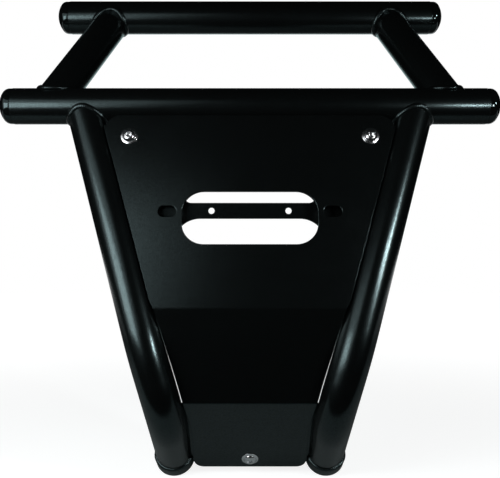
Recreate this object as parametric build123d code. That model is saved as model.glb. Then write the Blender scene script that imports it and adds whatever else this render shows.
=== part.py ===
from build123d import *
import os
from math import atan2, cos, radians, sin, sqrt

os.makedirs("parts", exist_ok=True)

# A tubular front bumper. +X is to the right of someone who looks at the front, +Y is back and
# +Z is up. The origin lies midway between the two frame bolts, on the strap's rear face.

# Tube stock
tube_od = 38.1
tube_wall = 2.4

# Front crossbar: its length, and its axis back from and above the origin
front_bar_length = 501.0
front_bar_back = 28.7
front_bar_up = 112.5

# Rear crossbar: its length, and its axis behind and above the front crossbar's
rear_bar_length = 428.5
rear_bar_setback = 96.3
rear_bar_rise = 124.5

# Struts: how far in from each bar's end their axes meet it
strut_front_inset = 36.5
strut_rear_inset = 54.05

# Downtubes: how far in from the front bar's end their axes meet it, half the distance between
# them at each corner, and each corner's drop below the one before it
head_inset = 73.7
knee_x = 100.5
knee_drop = 251.0
knee_forward = 67.3
knee_radius = 150.0
ankle_x = 82.6
ankle_drop = 61.4
ankle_back = 2.0
ankle_radius = 75.0
toe_x = 80.2
toe_drop = 55.0
toe_back = 62.0

# Foot slugs, turned and tapped
foot_proud = 1.6
foot_length = 13.0
foot_chamfer = 1.2
foot_spigot = 14.0
foot_hole_radius = 4.25
foot_hole_depth = 12.0
spigot_clearance = 0.15

# End caps of the bars
cap_rim = 3.7
cap_dome = 11.2
cap_shoulder_radius = 7.5
cap_stem_length = 22.0
cap_stem_wall = 2.2
cap_stem_gap = 1.6
cap_fin_width = 1.4
cap_fin_count = 3
cap_fin_clearance = 0.1

# Sheet plate: its front lies this far behind the fronts of the downtubes' upper runs
plate_thickness = 3.2
plate_recess = 5.35
plate_bend_down = 219.3
middle_length = 93.8
middle_lean = 4.0
low_length = 101.1
low_lean = 37.0
bend_inner_radius = 2.4

# Sheet plate outline: its gaps to the front crossbar and, from the top down, to the downtubes
plate_top_gap = 0.7
edge_gap_top = 0.5
edge_gap_middle = 0.5
edge_gap_bend = 0.2
plate_low_width = 117.4

# Heights of the outline's corners above and below the two bends
edge_step_above = 8.0
edge_step_below = 2.0
edge_flare_above = 21.3
edge_taper_below = 30.7
edge_step_radius = 12.0
edge_low_radius = 100.0
plate_top_corner = 15.4
plate_low_corner = 10.0
plate_edge_radius = 0.6

# Slot and oval holes in the plate, measured down from the front crossbar's axis
slot_width = 136.4
slot_height = 55.2
slot_corner = 22.0
slot_down = 127.4
oval_width = 18.3
oval_height = 11.4
oval_x = 83.2
oval_down = 120.9

# Screws, nuts and their holes: the upper screws lie in from the downtubes' heads
bolt_inset = 52.4
bolt_down = 40.0
low_bolt_rise = 13.8
screw_radius = 3.9
screw_spare = 2.0
flange_radius = 8.8
flange_thickness = 1.2
head_radius = 6.8
head_height = 4.4
head_flat_radius = 3.1
head_dome_radius = 5.5
socket_flats = 5.0
socket_depth = 2.6
bolt_hole_radius = 4.5
nut_flats = 13.0
nut_height = 7.9
nut_flange_radius = 8.9
nut_flange_thickness = 1.6
nut_clearance = 0.1

# Tabs behind the upper screws
tab_thickness = 4.0
tab_height = 28.0

# Strap with the two frame bolt holes
strap_thickness = 3.2
strap_height = 16.2
frame_bolt_spacing = 78.6
frame_hole_radius = 3.2
strap_end_top = 20.0
strap_end_bottom = 38.0
strap_top_shoulder_x = 67.0
strap_top_fillet = 7.0
strap_low_shoulder_x = 78.0
strap_low_fillet = 27.0

# Cross plate behind the lowest facet
low_plate_thickness = 4.0
low_plate_bottom_gap = 4.5
low_plate_height = 90.0

# Worked out from the sizes above
tube_radius = tube_od / 2
bore_radius = tube_radius - tube_wall
lean = atan2(knee_forward, knee_drop)
plate_front = tube_radius - plate_recess
plate_standoff = plate_front - plate_thickness

head_x = front_bar_length / 2 - head_inset
bolt_x = head_x - bolt_inset
head = Vector(head_x, front_bar_back, front_bar_up)
knee = Vector(knee_x, head.Y - knee_forward, head.Z - knee_drop)
ankle = Vector(ankle_x, knee.Y + ankle_back, knee.Z - ankle_drop)
toe = Vector(toe_x, ankle.Y + toe_back, ankle.Z - toe_drop)
toe_direction = (toe - ankle).normalized()

front_axis = Vector(0, front_bar_back, front_bar_up)
rear_axis = front_axis + Vector(0, rear_bar_setback, rear_bar_rise)

# The plane of both upper runs: local x is to the right, y up along the runs, z to the front
upper_plane = Plane(origin=front_axis, x_dir=(1, 0, 0), z_dir=(0, -cos(lean), sin(lean)))


def run_x(above, below, height):
    """Distance of a downtube's run from the middle plane at a height."""
    return below.X + (above.X - below.X) * (height - below.Z) / (above.Z - below.Z)


def upper_point(down, forward):
    """A point of the middle plane, down along the upper runs and in front of their plane."""
    return upper_plane.from_local_coords(Vector(0, -down, forward))


def facet_normal(angle):
    """Outward normal of a facet that leans back by an angle from the vertical."""
    return Vector(0, -cos(angle), -sin(angle))


def facet_run(angle, length):
    """A run down a facet that leans back by an angle from the vertical."""
    return Vector(0, sin(angle), -cos(angle)) * length


plate_top_down = sqrt((tube_radius + plate_top_gap) ** 2 - plate_standoff**2)
plate_top = upper_point(plate_top_down, plate_front)
first_bend = upper_point(plate_bend_down, plate_front)
second_bend = first_bend + facet_run(radians(middle_lean), middle_length)
plate_bottom = second_bend + facet_run(radians(low_lean), low_length)

# The plane of the lowest facet's front, with its origin at the plate's bottom edge
low_plane = Plane(origin=plate_bottom, x_dir=(1, 0, 0), z_dir=facet_normal(radians(low_lean)))


def mirrored(shape):
    """The same piece on the left side."""
    return mirror(shape, about=Plane.YZ)


# Tubes


def bar(axis_point, length, radius):
    """A round bar along X."""
    return Pos(axis_point) * Cylinder(radius, length, rotation=(0, 90, 0))


def crossbar(axis_point, length):
    """A straight tube along X, open at both ends for the caps."""
    return bar(axis_point, length, tube_radius) - bar(axis_point, length, bore_radius)


def swept(path, radius):
    """A round section carried along a path."""
    return sweep((path ^ 0) * Circle(radius), path)


front_bar_envelope = bar(front_axis, front_bar_length, tube_radius)
rear_bar_envelope = bar(rear_axis, rear_bar_length, tube_radius)


def downtube_path():
    """The right downtube's axis: three straight runs joined by two arcs."""
    return FilletPolyline(head, knee, ankle, toe, radius=[knee_radius, ankle_radius])


downtube_envelope = swept(downtube_path(), tube_radius)


def downtube():
    """The right downtube, coped to the front crossbar and cut square at its lower end."""
    return downtube_envelope - swept(downtube_path(), bore_radius) - front_bar_envelope


def strut():
    """The right strut, coped to both crossbars."""
    front_end = front_axis + Vector(front_bar_length / 2 - strut_front_inset, 0, 0)
    rear_end = rear_axis + Vector(rear_bar_length / 2 - strut_rear_inset, 0, 0)
    run = rear_end - front_end
    place = Plane(origin=front_end, x_dir=(1, 0, 0), z_dir=run.normalized())
    tube = Cylinder(tube_radius, run.length) - Cylinder(bore_radius, run.length)
    return place * Pos(0, 0, run.length / 2) * tube - front_bar_envelope - rear_bar_envelope


foot_place = Plane(origin=toe, x_dir=(1, 0, 0), z_dir=toe_direction)


def foot_shoulder():
    """The slug's shoulder, filled, with its lower edge chamfered."""
    blank = Pos(0, 0, foot_length / 2) * Cylinder(tube_radius + foot_proud, foot_length)
    return chamfer(blank.edges().sort_by(Axis.Z)[-1], foot_chamfer)


def foot():
    """The right foot slug: a shoulder below the tube, a spigot in it and a blind tapped hole."""
    spigot = Pos(0, 0, -foot_spigot / 2) * Cylinder(bore_radius - spigot_clearance, foot_spigot)
    hole = Cylinder(foot_hole_radius, foot_hole_depth)
    hole = Pos(0, 0, foot_length - foot_hole_depth / 2) * hole
    return foot_place * (foot_shoulder() + spigot - hole)


# End caps


def cap_crown():
    """Half of the dome's section: a tight shoulder arc that runs on into a wide top arc."""
    side = tube_radius - cap_shoulder_radius
    spare = cap_dome - cap_shoulder_radius
    crown_radius = (side**2 + cap_dome**2 - cap_shoulder_radius**2) / (2 * spare)
    centre = Vector(0, cap_rim + cap_dome - crown_radius)
    joint = centre + (Vector(side, cap_rim) - centre).normalized() * crown_radius
    shoulder = TangentArc((tube_radius, cap_rim), joint, tangent=(0, 1))
    return shoulder + TangentArc(joint, (0, cap_rim + cap_dome), tangent=shoulder % 1)


def cap():
    """A domed cap with a hollow finned stem. Its seat is at z = 0 and its dome points to +Z."""
    stem_radius = bore_radius - cap_stem_gap
    hollow_radius = stem_radius - cap_stem_wall
    fin_radius = bore_radius - cap_fin_clearance
    fin_pitch = cap_stem_length / cap_fin_count
    corners = [(0, cap_rim + cap_dome), (0, 0), (hollow_radius, 0)]
    corners += [(hollow_radius, -cap_stem_length), (stem_radius, -cap_stem_length)]
    for number in range(cap_fin_count):
        bottom = fin_pitch * (number + 0.5) - cap_stem_length
        top = bottom + cap_fin_width
        corners += [(stem_radius, bottom), (fin_radius, bottom), (fin_radius, top), (stem_radius, top)]
    corners += [(stem_radius, 0), (tube_radius, 0), (tube_radius, cap_rim)]
    return revolve(Plane.XZ * make_face(Polyline(*corners) + cap_crown()), Axis.Z)


def end_cap(axis_point, bar_length):
    """A cap in the right end of a crossbar."""
    seat = axis_point + Vector(bar_length / 2, 0, 0)
    return Plane(origin=seat, x_dir=(0, 1, 0), z_dir=(1, 0, 0)) * cap()


# Sheet plate


def sheet_corner(point, normal_above, normal_below):
    """The back of a bend's corner, one thickness behind both of its facets."""
    share = plate_thickness / (1 + normal_above.dot(normal_below))
    return point - (normal_above + normal_below) * share


def flat_point(point):
    """A point of the middle plane as (y, z)."""
    return (point.Y, point.Z)


def sheet_profile():
    """The plate's section in the middle plane: three facets joined by two bends."""
    top_normal = upper_plane.z_dir
    middle_normal = facet_normal(radians(middle_lean))
    low_normal = facet_normal(radians(low_lean))
    front = [plate_top, first_bend, second_bend, plate_bottom]
    back = [
        plate_top - top_normal * plate_thickness,
        sheet_corner(first_bend, top_normal, middle_normal),
        sheet_corner(second_bend, middle_normal, low_normal),
        plate_bottom - low_normal * plate_thickness,
    ]
    outer_radius = bend_inner_radius + plate_thickness
    outline = FilletPolyline(*[flat_point(p) for p in front], radius=outer_radius)
    outline += FilletPolyline(*[flat_point(p) for p in back], radius=bend_inner_radius)
    outline += Line(flat_point(front[0]), flat_point(back[0]))
    outline += Line(flat_point(front[-1]), flat_point(back[-1]))
    return Plane.YZ * make_face(outline)


def plate_outline():
    """The plate seen from the front, longer than the sheet at its top and bottom."""
    splay = atan2(head.X - knee.X, (head - knee).dot(upper_plane.y_dir))
    inset = sqrt((tube_radius + edge_gap_top) ** 2 - plate_standoff**2) / cos(splay)
    inset += (head.X - knee.X) / knee_drop * plate_front * sin(lean)
    middle_splay = atan2(knee.X - ankle.X, ankle_drop)
    start = plate_top.Z + plate_top_corner
    above_step = first_bend.Z + edge_step_above
    below_step = first_bend.Z - edge_step_below
    flare = second_bend.Z + edge_flare_above
    middle_inset = (tube_radius + edge_gap_middle) / cos(middle_splay)
    bend_inset = (tube_radius + edge_gap_bend) / cos(middle_splay)
    low_x = plate_low_width / 2
    right = FilletPolyline(
        (run_x(head, knee, start) - inset, start),
        (run_x(head, knee, above_step) - inset, above_step),
        (run_x(head, knee, below_step) - middle_inset, below_step),
        (run_x(knee, ankle, flare) - middle_inset, flare),
        (run_x(knee, ankle, second_bend.Z) - bend_inset, second_bend.Z),
        (low_x, second_bend.Z - edge_taper_below),
        (low_x, plate_bottom.Z - plate_low_corner),
        radius=[edge_step_radius] * 4 + [edge_low_radius],
    )
    left = mirror(right, about=Plane.YZ)
    outline = right + left + Line(right @ 0, left @ 0) + Line(right @ 1, left @ 1)
    return make_face(outline)


def rounded_corners(plate):
    """Rounds the plate's four corners across its thickness."""
    short = [edge for edge in plate.edges() if edge.length < 1.5 * plate_thickness]
    upper = [edge for edge in short if edge.center().Z > plate_top.Z - 2 * plate_thickness]
    plate = fillet(upper, plate_top_corner)
    short = [edge for edge in plate.edges() if edge.length < 1.5 * plate_thickness]
    lower = [edge for edge in short if edge.center().Z < plate_bottom.Z + 2 * plate_thickness]
    return fillet(lower, plate_low_corner)


def plate_cuts():
    """The slot, the two oval holes and the three screw holes, each square to its facet."""
    openings = Pos(0, -slot_down) * RectangleRounded(slot_width, slot_height, slot_corner)
    for side in (-1, 1):
        openings += Pos(side * oval_x, -oval_down) * SlotOverall(oval_width, oval_height)
        openings += Pos(side * bolt_x, -bolt_down) * Circle(bolt_hole_radius)
    upper = extrude(upper_plane * openings, amount=2 * plate_front)
    low_hole = low_plane * (Pos(0, low_bolt_rise) * Circle(bolt_hole_radius))
    return upper + extrude(low_hole, amount=2 * plate_thickness, both=True)


def front_edges(plate):
    """The edges around the top facet's openings, on its front."""
    seat = upper_plane.offset(plate_front)
    top_facet = plate.faces().sort_by(lambda face: abs(seat.to_local_coords(face.center()).Z))[0]
    return [edge for wire in top_facet.inner_wires() for edge in wire.edges()]


def bash_plate():
    """The bent sheet plate with its outline, corners and openings."""
    sheet = extrude(sheet_profile(), amount=head_x, both=True)
    outline = extrude(Plane.XZ * plate_outline(), amount=front_bar_length, both=True)
    plate = rounded_corners(sheet & outline) - plate_cuts()
    return fillet(front_edges(plate), plate_edge_radius)


# Welded brackets


def outside_tubes(shape):
    """A bracket trimmed to the outside of both downtubes and their foot slugs."""
    for envelope in (downtube_envelope, foot_place * foot_shoulder()):
        shape = shape - envelope - mirrored(envelope)
    return shape


def frame_strap():
    """The strap across the downtubes, with wide ends and two frame bolt holes."""
    half = strap_height / 2
    waist = Polyline((0, half), (0, -half))
    top = FilletPolyline(
        (0, half),
        (strap_top_shoulder_x, half),
        (strap_top_shoulder_x, strap_end_top),
        (run_x(head, knee, strap_end_top), strap_end_top),
        radius=[strap_top_fillet, 0],
    )
    bottom = FilletPolyline(
        (0, -half),
        (strap_low_shoulder_x, -half),
        (strap_low_shoulder_x, -strap_end_bottom),
        (run_x(head, knee, -strap_end_bottom), -strap_end_bottom),
        radius=[strap_low_fillet, 0],
    )
    end = Line(top @ 1, bottom @ 1)
    half_face = Plane.XZ * make_face(waist + top + bottom + end)
    right = extrude(half_face, amount=strap_thickness)
    strap = right + mirrored(right)
    for side in (-1, 1):
        place = Pos(side * frame_bolt_spacing / 2, -strap_thickness / 2, 0)
        strap -= place * Cylinder(frame_hole_radius, 2 * strap_thickness, rotation=(90, 0, 0))
    return outside_tubes(strap)


def tab():
    """The right tab: a round-ended bracket against the plate's back, out to the downtube."""
    radius = tab_height / 2
    end_x = run_x(head, knee, upper_point(bolt_down, 0).Z)
    length = end_x - bolt_x
    shape = Pos(bolt_x, -bolt_down) * Circle(radius)
    shape += Pos(bolt_x + length / 2, -bolt_down) * Rectangle(length, tab_height)
    shape -= Pos(bolt_x, -bolt_down) * Circle(bolt_hole_radius)
    back = Pos(0, 0, plate_standoff - tab_thickness) * shape
    return outside_tubes(extrude(upper_plane * back, amount=tab_thickness))


def lower_cross_plate():
    """The cross plate against the back of the lowest facet, from downtube to downtube."""
    middle = low_plate_bottom_gap + low_plate_height / 2
    shape = Pos(0, middle) * Rectangle(ankle_x + toe_x, low_plate_height)
    shape -= Pos(0, low_bolt_rise) * Circle(bolt_hole_radius)
    back = Pos(0, 0, -plate_thickness - low_plate_thickness) * shape
    return outside_tubes(extrude(low_plane * back, amount=low_plate_thickness))


# Fasteners


def screw(grip):
    """A flanged button-head screw. Its seat is at z = 0 and its head points to +Z."""
    lip_height = flange_thickness / 2
    flange = [(0, 0), (flange_radius, 0), (flange_radius, lip_height)]
    outline = Polyline((0, head_height), *flange, (head_radius, flange_thickness))
    rim = (head_radius, flange_thickness)
    dome = RadiusArc(rim, (head_flat_radius, head_height), -head_dome_radius)
    top = Line((head_flat_radius, head_height), (0, head_height))
    head_piece = revolve(Plane.XZ * make_face(outline + dome + top), Axis.Z)
    length = grip + nut_height + screw_spare
    shank = Pos(0, 0, -length / 2) * Cylinder(screw_radius, length)
    key = Pos(0, 0, head_height - socket_depth) * RegularPolygon(socket_flats / sqrt(3), 6)
    return head_piece + shank - extrude(key, amount=socket_depth)


def nut():
    """A flange nut below its seat at z = 0."""
    hexagon = extrude(RegularPolygon(nut_flats / sqrt(3), 6), amount=-nut_height)
    corner_radius = nut_flats / sqrt(3)
    blank = Pos(0, 0, -nut_height / 2) * Cylinder(corner_radius, nut_height)
    blank = chamfer(blank.edges().sort_by(Axis.Z)[0], corner_radius - nut_flats / 2)
    flange = Pos(0, 0, -nut_flange_thickness / 2) * Cylinder(nut_flange_radius, nut_flange_thickness)
    bore = Pos(0, 0, -nut_height / 2) * Cylinder(screw_radius + nut_clearance, nut_height)
    return (hexagon & blank) + flange - bore


upper_screw_place = upper_plane * Pos(bolt_x, -bolt_down, plate_front)
upper_nut_place = upper_plane * Pos(bolt_x, -bolt_down, plate_standoff - tab_thickness)
low_screw_place = low_plane * Pos(0, low_bolt_rise, 0)
low_nut_place = low_plane * Pos(0, low_bolt_rise, -plate_thickness - low_plate_thickness)


def write(name, shape):
    """Writes one node's solid."""
    export_step(shape, f"parts/{name}.step")


right_pieces = {
    "strut": strut(),
    "downtube": downtube(),
    "foot": foot(),
    "tab": tab(),
    "bolt": upper_screw_place * screw(plate_thickness + tab_thickness),
    "nut": upper_nut_place * nut(),
}
for name, piece in right_pieces.items():
    write(f"right_{name}", piece)
    write(f"left_{name}", mirrored(piece))

for row, axis_point, bar_length in (
    ("front", front_axis, front_bar_length),
    ("rear", rear_axis, rear_bar_length),
):
    write(f"{row}_crossbar", crossbar(axis_point, bar_length))
    right_cap = end_cap(axis_point, bar_length)
    write(f"{row}_right_cap", right_cap)
    write(f"{row}_left_cap", mirrored(right_cap))

write("bash_plate", bash_plate())
write("frame_strap", frame_strap())
write("lower_cross_plate", lower_cross_plate())
write("lower_bolt", low_screw_place * screw(plate_thickness + low_plate_thickness))
write("lower_nut", low_nut_place * nut())
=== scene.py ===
"""A tubular front bumper: satin black powder coat over tube and sheet, with welds, caps and screws."""
import logging
import math
from collections.abc import Iterable, Mapping
from dataclasses import dataclass, field
from enum import Enum

import bpy
import numpy as np
from mathutils import Matrix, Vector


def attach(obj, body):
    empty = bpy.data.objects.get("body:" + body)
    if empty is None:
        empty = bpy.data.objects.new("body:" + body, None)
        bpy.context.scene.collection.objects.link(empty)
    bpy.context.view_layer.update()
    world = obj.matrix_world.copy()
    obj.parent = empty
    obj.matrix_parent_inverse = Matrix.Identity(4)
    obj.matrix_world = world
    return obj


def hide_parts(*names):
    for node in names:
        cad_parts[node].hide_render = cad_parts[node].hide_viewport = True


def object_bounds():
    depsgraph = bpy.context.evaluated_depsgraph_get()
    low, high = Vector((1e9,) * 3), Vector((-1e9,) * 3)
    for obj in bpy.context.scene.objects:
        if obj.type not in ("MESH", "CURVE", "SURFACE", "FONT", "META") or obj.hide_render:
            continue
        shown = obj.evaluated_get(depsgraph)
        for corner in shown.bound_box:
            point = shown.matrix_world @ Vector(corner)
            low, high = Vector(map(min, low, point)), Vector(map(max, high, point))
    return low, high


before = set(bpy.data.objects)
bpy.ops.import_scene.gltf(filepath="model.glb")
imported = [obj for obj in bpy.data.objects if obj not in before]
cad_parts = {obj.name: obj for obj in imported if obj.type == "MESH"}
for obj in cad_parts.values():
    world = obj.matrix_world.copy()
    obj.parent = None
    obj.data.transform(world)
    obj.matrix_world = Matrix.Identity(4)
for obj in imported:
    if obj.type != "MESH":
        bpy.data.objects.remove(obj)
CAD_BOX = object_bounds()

LOG = logging.getLogger("bumper")
Tree = bpy.types.NodeTree
Socket = bpy.types.NodeSocket
MM = 0.001
UP = np.array((0.0, 0.0, 1.0))
SIDEWAYS = np.array((1.0, 0.0, 0.0))
# The mix node's sockets for colours, by number, because several of its sockets share a name
MIX_SHARE, MIX_FIRST, MIX_SECOND = 0, 6, 7
MIX_RESULT = 2


class Side(Enum):
    """The two mirrored halves, each with the sign of its X."""

    LEFT = -1.0
    RIGHT = 1.0

    @property
    def word(self) -> str:
        """The side's name in lower case."""
        return self.name.lower()

    def flip(self) -> np.ndarray:
        """The factors that carry a point of the right half to this one."""
        return np.array((self.value, 1.0, 1.0))


class Slot(Enum):
    """The record's material slots."""

    STEEL = "powder_coated_steel"
    PLASTIC = "cap_plastic"
    SCREWS = "zinc_screws"
    NUTS = "zinc_nuts"


def vec(x: float, y: float, z: float) -> np.ndarray:
    """A point or direction as an array."""
    return np.array((x, y, z), dtype=float)


def unit(vectors: np.ndarray) -> np.ndarray:
    """Vectors of length one, along the last axis."""
    return vectors / np.linalg.norm(vectors, axis=-1, keepdims=True)


def linear(hex_colour: str) -> tuple[float, float, float, float]:
    """Turns an sRGB hex colour to linear light, by the curve that the sRGB standard gives.

    Args:
        hex_colour: six hex digits after a hash sign.

    Returns:
        Red, green, blue and alpha as Blender's sockets hold them.
    """
    digits = hex_colour.lstrip("#")
    srgb = [int(digits[i:i + 2], 16) / 255 for i in (0, 2, 4)]
    parts = [c / 12.92 if c <= 0.04045 else ((c + 0.055) / 1.055) ** 2.4 for c in srgb]
    return (*parts, 1.0)


def rounded(corners: np.ndarray, radii: Iterable[float], steps: int = 4) -> np.ndarray:
    """Joins the straight runs between corners with tangent arcs.

    At a corner the arc starts radius * tan(turn / 2) before it. Along the arc a point is
    centre + radius * (cos(a) * first spoke + sin(a) * tangent), for a from 0 to the turn.

    Args:
        corners: the outline's corners, one row each.
        radii: the arc radius at each inner corner, or 0 where it stays sharp.
        steps: how many steps each arc has.

    Returns:
        The outline's points, one row each.
    """
    pieces = [corners[:1]]
    for index, radius in enumerate(radii, start=1):
        arrive = unit(corners[index] - corners[index - 1])
        leave = unit(corners[index + 1] - corners[index])
        turn = math.acos(float(arrive @ leave))
        if radius == 0:
            pieces.append(corners[index:index + 1])
            continue
        start = corners[index] - arrive * radius * math.tan(turn / 2)
        spoke = unit(arrive * (arrive @ leave) - leave)
        centre = start - spoke * radius
        angle = np.linspace(0, turn, steps + 1)[:, None]
        pieces.append(centre + radius * (np.cos(angle) * spoke + np.sin(angle) * arrive))
    pieces.append(corners[-1:])
    return np.concatenate(pieces)


def lengths(curve: np.ndarray) -> np.ndarray:
    """How far along a curve each row lies. A row's first three values are its point."""
    steps = np.linalg.norm(np.diff(curve[:, :3], axis=0), axis=1)
    return np.concatenate(((0.0,), np.cumsum(steps)))


def sample(curve: np.ndarray, at: np.ndarray) -> np.ndarray:
    """A curve's rows at the wanted lengths, by linear interpolation."""
    along = lengths(curve)
    return np.stack([np.interp(at, along, column) for column in curve.T], axis=1)


def meet_tube(starts: np.ndarray, way: np.ndarray, axis: np.ndarray, radius: float,
              halvings: int = 30) -> np.ndarray:
    """Slides points along one direction until they touch a bent tube, by halving the interval.

    The interval runs from each point to its nearest pass by the tube's axis, which is inside it.

    Args:
        starts: points outside the tube.
        way: the unit direction in which they slide, towards the tube's axis.
        axis: samples along the tube's axis.
        radius: the tube's outer radius.
        halvings: how often the interval is halved.

    Returns:
        The points on the tube's surface.
    """
    near = np.zeros(len(starts))
    offset = axis[:, None] - starts[None]
    ahead = offset @ way
    aside = np.linalg.norm(offset - ahead[..., None] * way, axis=2)
    far = np.take_along_axis(ahead, aside.argmin(axis=0)[None], axis=0)[0]
    for _ in range(halvings):
        middle = (near + far) / 2
        moved = starts + middle[:, None] * way
        gap = np.linalg.norm(moved[:, None] - axis[None], axis=2).min(axis=1) - radius
        near = np.where(gap > 0, middle, near)
        far = np.where(gap > 0, far, middle)
    return starts + near[:, None] * way


def grid_faces(rows: int, columns: int, ring: bool) -> np.ndarray:
    """Corner indices of the quads of a grid whose columns wrap round.

    Args:
        rows: how many rows of points the grid has.
        columns: how many points each row has.
        ring: whether the last row runs on to the first.

    Returns:
        Four indices for each quad.
    """
    row = np.arange(rows if ring else rows - 1)[:, None]
    column = np.arange(columns)[None]
    below = row * columns + column
    beside = row * columns + (column + 1) % columns
    above = (row + 1) % rows * columns + column
    across = (row + 1) % rows * columns + (column + 1) % columns
    return np.stack((below, beside, across, above), axis=-1).reshape(-1, 4)


def shell(name: str, grid: np.ndarray, ring: bool) -> bpy.types.Object:
    """Makes a closed smooth-shaded mesh object from a grid whose columns wrap round.

    A ring also wraps its rows. Otherwise each end row is closed by a fan to its own centre.
    The sign of the enclosed volume decides which way round the faces go.

    Args:
        name: the object's name.
        grid: points by row, column and axis.
        ring: whether the rows close into a ring.

    Returns:
        The new object at the origin.
    """
    rows, columns = grid.shape[:2]
    points = grid.reshape(-1, 3)
    quads = grid_faces(rows, columns, ring)
    halves = [quads[:, (0, 1, 2)], quads[:, (0, 2, 3)]]
    fans = np.zeros((0, 3), dtype=int)
    if not ring:
        centres = np.stack((grid[0].mean(axis=0), grid[-1].mean(axis=0)))
        first, last = len(points), len(points) + 1
        points = np.concatenate((points, centres))
        column = np.arange(columns)
        following = (column + 1) % columns
        end = (rows - 1) * columns
        bottom = np.stack((following, column, np.full(columns, first)), axis=1)
        top = np.stack((end + column, end + following, np.full(columns, last)), axis=1)
        fans = np.concatenate((bottom, top))
    corners = points[np.concatenate((*halves, fans))]
    volume = np.einsum("ij,ij->i", corners[:, 0], np.cross(corners[:, 1], corners[:, 2])).sum()
    if volume < 0:
        quads, fans = quads[:, ::-1], fans[:, ::-1]
    mesh = bpy.data.meshes.new(name)
    mesh.from_pydata(points.tolist(), [], quads.tolist() + fans.tolist())
    mesh.polygons.foreach_set("use_smooth", np.full(len(mesh.polygons), True))
    mesh.update()
    piece = bpy.data.objects.new(name, mesh)
    bpy.context.scene.collection.objects.link(piece)
    return piece


@dataclass(frozen=True)
class Seat:
    """Where a turned piece stands: the middle of its seat, its axis and its first cross direction."""

    origin: np.ndarray
    axis: np.ndarray
    first: np.ndarray

    def flip(self, side: Side) -> "Seat":
        """The same seat on one of the two sides."""
        return Seat(self.origin * side.flip(), self.axis * side.flip(), self.first * side.flip())

    def carry(self, radius: np.ndarray, height: np.ndarray, angle: np.ndarray) -> np.ndarray:
        """Places points given by radius, height along the axis and angle about it.

        A point is origin + height * axis + radius * (cos(angle) * first + sin(angle) * second).

        Args:
            radius: distances from the axis.
            height: heights above the seat.
            angle: angles about the axis, counted from the first cross direction.

        Returns:
            The points by row, column and axis.
        """
        parts = np.broadcast_arrays(radius, height, angle)
        radius, height, angle = (part[..., None] for part in parts)
        second = np.cross(self.axis, self.first)
        spoke = np.cos(angle) * self.first + np.sin(angle) * second
        return self.origin + height * self.axis + radius * spoke


@dataclass(frozen=True)
class Thread:
    """A metric screw thread: one start, with a flattened V between crest and root."""

    crest: float
    pitch: float
    # The basic depth is 0.61 of the pitch
    depth_share: float = 0.61
    # The crest and the root are flat over this share of the wave
    flat_share: float = 0.125

    @property
    def root(self) -> float:
        """The thread's smallest radius."""
        return self.crest - self.depth_share * self.pitch

    def radius(self, height: np.ndarray, angle: np.ndarray) -> np.ndarray:
        """The thread's radius at a height and an angle.

        With the phase height / pitch - angle / (2 pi), the wave |2 * (phase mod 1) - 1| is cut
        off near 0 and 1, and the radius is crest - depth * wave.

        Args:
            height: heights along the screw's axis.
            angle: angles about it.

        Returns:
            The radius, by row and column.
        """
        phase = height / self.pitch - angle / (2 * np.pi)
        wave = np.abs(2 * (phase % 1) - 1)
        cut = np.clip((wave - self.flat_share) / (1 - 2 * self.flat_share), 0, 1)
        return self.crest - self.depth_share * self.pitch * cut


def hexagon(flats: float, angle: np.ndarray) -> np.ndarray:
    """The radius of a hexagon at each angle: half its width over cos(angle from the nearest flat)."""
    sector = np.pi / 3
    return flats / 2 / np.cos(angle % sector - sector / 2)


def round_angles(columns: int) -> np.ndarray:
    """Even angles once round, as one row of a grid."""
    return np.linspace(0, 2 * np.pi, columns, endpoint=False)[None]


def settle(piece: bpy.types.Object, material: bpy.types.Material,
           stands_for: Iterable[str] = ()) -> None:
    """Gives a new piece its finish and its place in the frame.

    Args:
        piece: the new object.
        material: the material that it wears.
        stands_for: the CAD nodes that it takes the place of.
    """
    piece.data.materials.append(material)
    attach(piece, "root")
    for node_name in stands_for:
        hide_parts(node_name)
    LOG.info("piece %s: %d faces", piece.name, len(piece.data.polygons))


def dress_node(node_name: str, material: bpy.types.Material) -> None:
    """Puts one material on a CAD node.

    Args:
        node_name: the node's name.
        material: the material that it wears.
    """
    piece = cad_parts[node_name]
    if not piece.material_slots:
        piece.data.materials.append(material)
    for slot in piece.material_slots:
        slot.material = material
    LOG.info("node %s: %s", node_name, material.name)


def add_node(tree: Tree, kind: str, settings: Mapping[str | int, object] | None = None,
             links: Mapping[str | int, Socket] | None = None) -> bpy.types.Node:
    """Adds a shader node, sets it and links its inputs.

    Args:
        tree: the node tree that it goes into.
        kind: the node's type name.
        settings: values by attribute name, or by input name or number.
        links: output sockets by the name or number of the input that they feed.

    Returns:
        The new node.
    """
    made = tree.nodes.new(kind)
    for key, value in (settings or {}).items():
        if isinstance(key, str) and hasattr(made, key):
            setattr(made, key, value)
        else:
            made.inputs[key].default_value = value
    for key, socket in (links or {}).items():
        tree.links.new(socket, made.inputs[key])
    return made


def add_pattern(tree: Tree, size: float, detail: float = 2.0, swirl: float = 0.0) -> Socket:
    """Adds a noise in the piece's own coordinates.

    Args:
        tree: the node tree that it goes into.
        size: about how far apart its spots lie.
        detail: how many finer layers lie over it.
        swirl: how far its spots are drawn out.

    Returns:
        The output that says how light each place is, from 0 to 1.
    """
    place = add_node(tree, "ShaderNodeTexCoord").outputs["Object"]
    settings = {"Scale": 1 / size, "Detail": detail, "Distortion": swirl}
    return add_node(tree, "ShaderNodeTexNoise", settings, {"Vector": place}).outputs["Fac"]


def add_blend(tree: Tree, colours: tuple[str, str], share: Socket) -> Socket:
    """Mixes two hex colours by the second one's share."""
    settings = {"data_type": "RGBA", MIX_FIRST: linear(colours[0]), MIX_SECOND: linear(colours[1])}
    return add_node(tree, "ShaderNodeMix", settings, {MIX_SHARE: share}).outputs[MIX_RESULT]


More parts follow.
